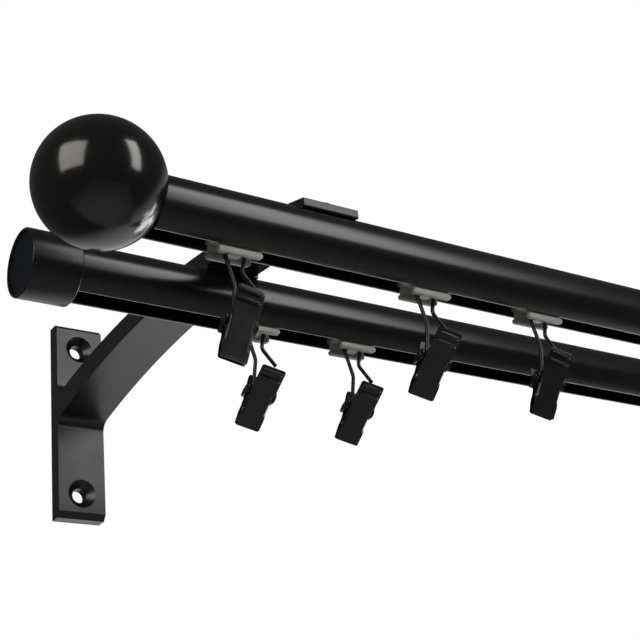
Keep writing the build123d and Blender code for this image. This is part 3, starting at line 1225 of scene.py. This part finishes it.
@dataclass
class Clip(Builder):
    """A two-jaw clip on a pivot pin, with a coil spring between its jaws."""

    half_gap: float = 0.85
    tip: float = 15.0
    grip_top: float = -14.2
    front_bends: tuple = ((-3.9, 4.2), (-5.8, 13.0))
    back_bends: tuple = ((3.6, -2.5), (5.4, 1.6), (7.2, 5.4))
    rib_drops: tuple = (2.1, 5.5)
    rib_radius: float = 0.8
    rib_half: float = 3.8
    front_lug: tuple = (5.1, 0.9, 2.2, (-2.6, -3.2), (-3.5, 2.6))
    back_lug: tuple = (6.3, 0.9, 2.6, (3.5, -4.4), (3.9, -1.2))
    lug_rim: float = 0.15
    wing: tuple = ((13.4, 1.2, 3.2), (0, 3.6, -2.8), 0.5, 0.2)
    pin_radius: float = 0.8
    pin_half: float = 6.81
    head: tuple = (1.3, 0.5)
    coil_radius: float = 1.75
    coil_wire: float = 0.35
    coil_turns: int = 5
    coil_start: float = -0.9
    coil_from: float = 225.0
    coil_steps: int = 28
    coil_spacing: float = 1.94
    coil_share: float = 0.9
    front_leg: tuple = (-2.05, 1.5)
    back_leg: tuple = (3.2, 3.4)

    def build(self, label: str, pin: Matrix, swing: float) -> None:
        """Builds the clip's four pieces.

        Args:
            label: the glider's row and number.
            pin: the pin's frame.
            swing: how far the clip is swung on its pin, in degrees.
        """
        at = pin @ Matrix.Rotation(radians(swing), 4, "X")
        coats = self.finishes
        made = (
            ("pressed_front_jaw", "clip_front_jaw", "jaw", self._front(), coats.clip, 32.0),
            ("pressed_back_jaw", "clip_back_jaw", "clip", self._back(), coats.clip, 32.0),
            ("riveted_pin", "clip_pin", "clip", self._pin(), coats.pin, 40.0),
            ("coil_spring", "clip_spring", "clip", self._spring(), coats.zinc, 60.0),
        )
        for name, node, body, mesh, finish, smooth in made:
            bmesh.ops.transform(mesh, matrix=at, verts=mesh.verts[:])
            piece = finished(mesh, f"{label}_{name}", [finish], f"{label}_{body}", smooth)
            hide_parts(f"{label}_{node}")

    def _jaw_line(self, side: int, bends: tuple) -> tuple:
        """A jaw's middle line, from tip to handle.

        Args:
            side: -1 for the front jaw, 1 for the back jaw.
            bends: its points above the grip.

        Returns:
            Points of y and z.
        """
        y = side * self.half_gap
        return ((y, -self.tip), (y, self.grip_top), *bends)

    def _front(self) -> bmesh.types.BMesh:
        """The front jaw: bent strip, two ribs on its handle and two lugs."""
        strip = BentStrip(self._jaw_line(-1, self.front_bends))
        parts = [strip.build()]
        whole = strip.lengths()[-1]
        for drop in self.rib_drops:
            y, z = strip.at(whole - drop)
            y1, z1 = strip.at(whole - drop - 0.5)
            lean = atan2(y1 - y, z - z1)
            parts.append(self._rib(y - strip.thickness / 2, z, lean))
        return joined(parts + self._lugs(*self.front_lug))

    def _back(self) -> bmesh.types.BMesh:
        """The back jaw: bent strip, two outer lugs and the wing between them."""
        line = self._jaw_line(1, self.back_bends)
        strip = BentStrip(line, turn_in=1.2, turn_sign=-1, turn_to=0.0)
        return joined([strip.build()] + self._lugs(*self.back_lug) + [bar(*self.wing)])

    def _rib(self, y: float, z: float, lean: float) -> bmesh.types.BMesh:
        """A raised finger rib across the handle.

        Args:
            y: its distance before the pin.
            z: its height over the pin.
            lean: the handle's lean at that place, in radians.

        Returns:
            The rib.
        """
        mesh = bmesh.new()
        bmesh.ops.create_uvsphere(
            mesh, u_segments=20, v_segments=12, radius=self.rib_radius * MM
        )
        for vert in mesh.verts:
            vert.co.x += (self.rib_half if vert.co.x > 0 else -self.rib_half) * MM
        place = Matrix.Translation(Vector((0, y, z)) * MM) @ Matrix.Rotation(lean, 4, "X")
        bmesh.ops.transform(mesh, matrix=place, verts=mesh.verts[:])
        return mesh

    def _lugs(self, x: float, thick: float, radius: float, low: tuple, high: tuple) -> list:
        """The pair of lugs of one jaw, with _lug's values for the right one."""
        return [self._lug(side * x, thick, radius, low, high) for side in (-1, 1)]

    def _lug(self, x: float, thick: float, radius: float, low: tuple,
             high: tuple) -> bmesh.types.BMesh:
        """A lug that carries the pin.

        Args:
            x: its middle along the pin.
            thick: its thickness.
            radius: its radius round the pin.
            low: y and z of its lower root on the jaw.
            high: y and z of its upper root on the jaw.

        Returns:
            The lug.
        """
        mesh = bmesh.new()
        turn = Matrix.Translation((x * MM, 0, 0)) @ Matrix.Rotation(pi / 2, 4, "Y")
        bmesh.ops.create_cone(
            mesh, cap_ends=True, segments=32, radius1=radius * MM, radius2=radius * MM,
            depth=thick * MM, matrix=turn,
        )
        for offset in (-thick / 2, thick / 2):
            for y, z in (low, high):
                mesh.verts.new(Vector((x + offset, y, z)) * MM)
        grown = bmesh.ops.convex_hull(mesh, input=mesh.verts[:])
        spare = [g for g in grown["geom_interior"] if isinstance(g, bmesh.types.BMVert)]
        bmesh.ops.delete(mesh, geom=spare, context="VERTS")
        hull = {g for g in grown["geom"] if isinstance(g, bmesh.types.BMFace)}
        inner = [f for f in mesh.faces if f not in hull]
        bmesh.ops.delete(mesh, geom=inner, context="FACES_ONLY")
        bmesh.ops.dissolve_limit(
            mesh, angle_limit=radians(2.0), verts=mesh.verts[:], edges=mesh.edges[:]
        )
        round_off(mesh, sharp_edges(mesh, RIM_ANGLE), self.lug_rim, 2)
        return mesh

    def _pin(self) -> bmesh.types.BMesh:
        """The pin with its two domed rivet heads."""
        radius, high = self.head
        lifts = [radians(10.0 * k) for k in range(10)]
        dome = [(self.pin_half + high * sin(a), radius * cos(a)) for a in lifts]
        right = [(self.pin_half, self.pin_radius), (self.pin_half, radius)] + dome[1:]
        right[-1] = (right[-1][0], 0.0)
        left = [(-x, r) for x, r in reversed(right)]
        return turned(left + right, Matrix.Identity(4), steps=32)

    def _spring(self) -> bmesh.types.BMesh:
        """The coil round the pin, with a leg to each jaw."""
        radius, thick, steps = self.coil_radius, self.coil_wire, self.coil_steps
        pitch = self.coil_spacing * thick
        coil = []
        for k in range(self.coil_turns * steps + steps // 4 + 1):
            angle = radians(self.coil_from) + 2 * pi * k / steps
            along = self.coil_start + thick + pitch * k / steps
            coil.append(Vector((along, radius * cos(angle), radius * sin(angle))))
        head = Vector((coil[0].x, *self.front_leg))
        tail = Vector((coil[-1].x, *self.back_leg))
        path = [head] + coil + [tail]
        return wire([(path, False)], self.coil_share * thick, Matrix.Identity(4))


@dataclass
class HangingSet(Builder):
    """The gliders of the track, each with its wire hook and clip."""

    hook_drop: float = 10.9
    pin_drop: float = 30.2
    clip_offset: float = 0.2
    pin_roll: float = 15.0
    pin_turn: float = -6.0
    places: dict = field(default_factory=lambda: {
        Row.FRONT: ((36.3, 3.0), (126.5, 33.0), (188.0, 16.0)),
        Row.REAR: ((105.3, 38.0), (156.8, 36.0)),
    })

    def build(self) -> None:
        """Builds every glider, hook and clip."""
        roll = Matrix.Rotation(radians(self.pin_roll), 4, "Y")
        turn = Matrix.Rotation(radians(self.pin_turn), 4, "Z")
        drop = Matrix.Translation(Vector((self.clip_offset, 0, -self.pin_drop)) * MM)
        pin = drop @ roll @ turn
        for row, stands in self.places.items():
            tube = TUBES[row]
            for number, (place, swing) in enumerate(stands, 1):
                label = f"{row.value}_{number}"
                x = place - tube.half_length
                glider_at = tube.matrix() @ Matrix.Translation((x * MM, 0, 0))
                hang = glider_at @ Vector((0, 0, -self.hook_drop * MM))
                hook_at = Matrix.Translation(hang)
                Glider(self.finishes).build(label, glider_at)
                WireHook(self.finishes).build(label, hook_at, pin)
                Clip(self.finishes).build(label, hook_at @ pin, swing)
                log.info("made glider, hook and clip %s", label)


def dress_nodes(finishes: Finishes) -> None:
    """Gives every carried-over CAD node its finish.

    Args:
        finishes: the object's finishes.
    """
    by_word: dict = {
        "bracket": finishes.casting, "tube": finishes.tube, "ball": finishes.ball,
        "finial_plug": finishes.plug, "finial_stud": finishes.zinc, "end_cap": finishes.cap,
        "clamp_screws": finishes.screw, "clamp_nuts": finishes.zinc, "glider": finishes.glider,
        "wire_hook": finishes.wire, "jaw": finishes.clip, "clip_pin": finishes.clip,
        "clip_spring": finishes.zinc,
    }
    for node in sorted(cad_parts):
        for word, finish in by_word.items():
            if word in node:
                dress(node, finish)
                log.info("dressed %s with %s", node, finish.name)


def main() -> None:
    """Builds the studio, the finishes and the pieces in order."""
    logging.basicConfig(level=logging.INFO, format="%(message)s")
    Studio().build()
    finishes = Finishes()
    dress_nodes(finishes)
    for side in Side:
        log.info("made %s", Bracket(finishes).build(side).name)
        log.info("made %s", BallFinial(finishes).build(side).name)
        log.info("made %s", EndCap(finishes).build(side).name)
    for row in Row:
        log.info("made %s", SlottedTube(finishes).build(row).name)
    HangingSet(finishes).build()


if __name__ == "__main__":
    main()
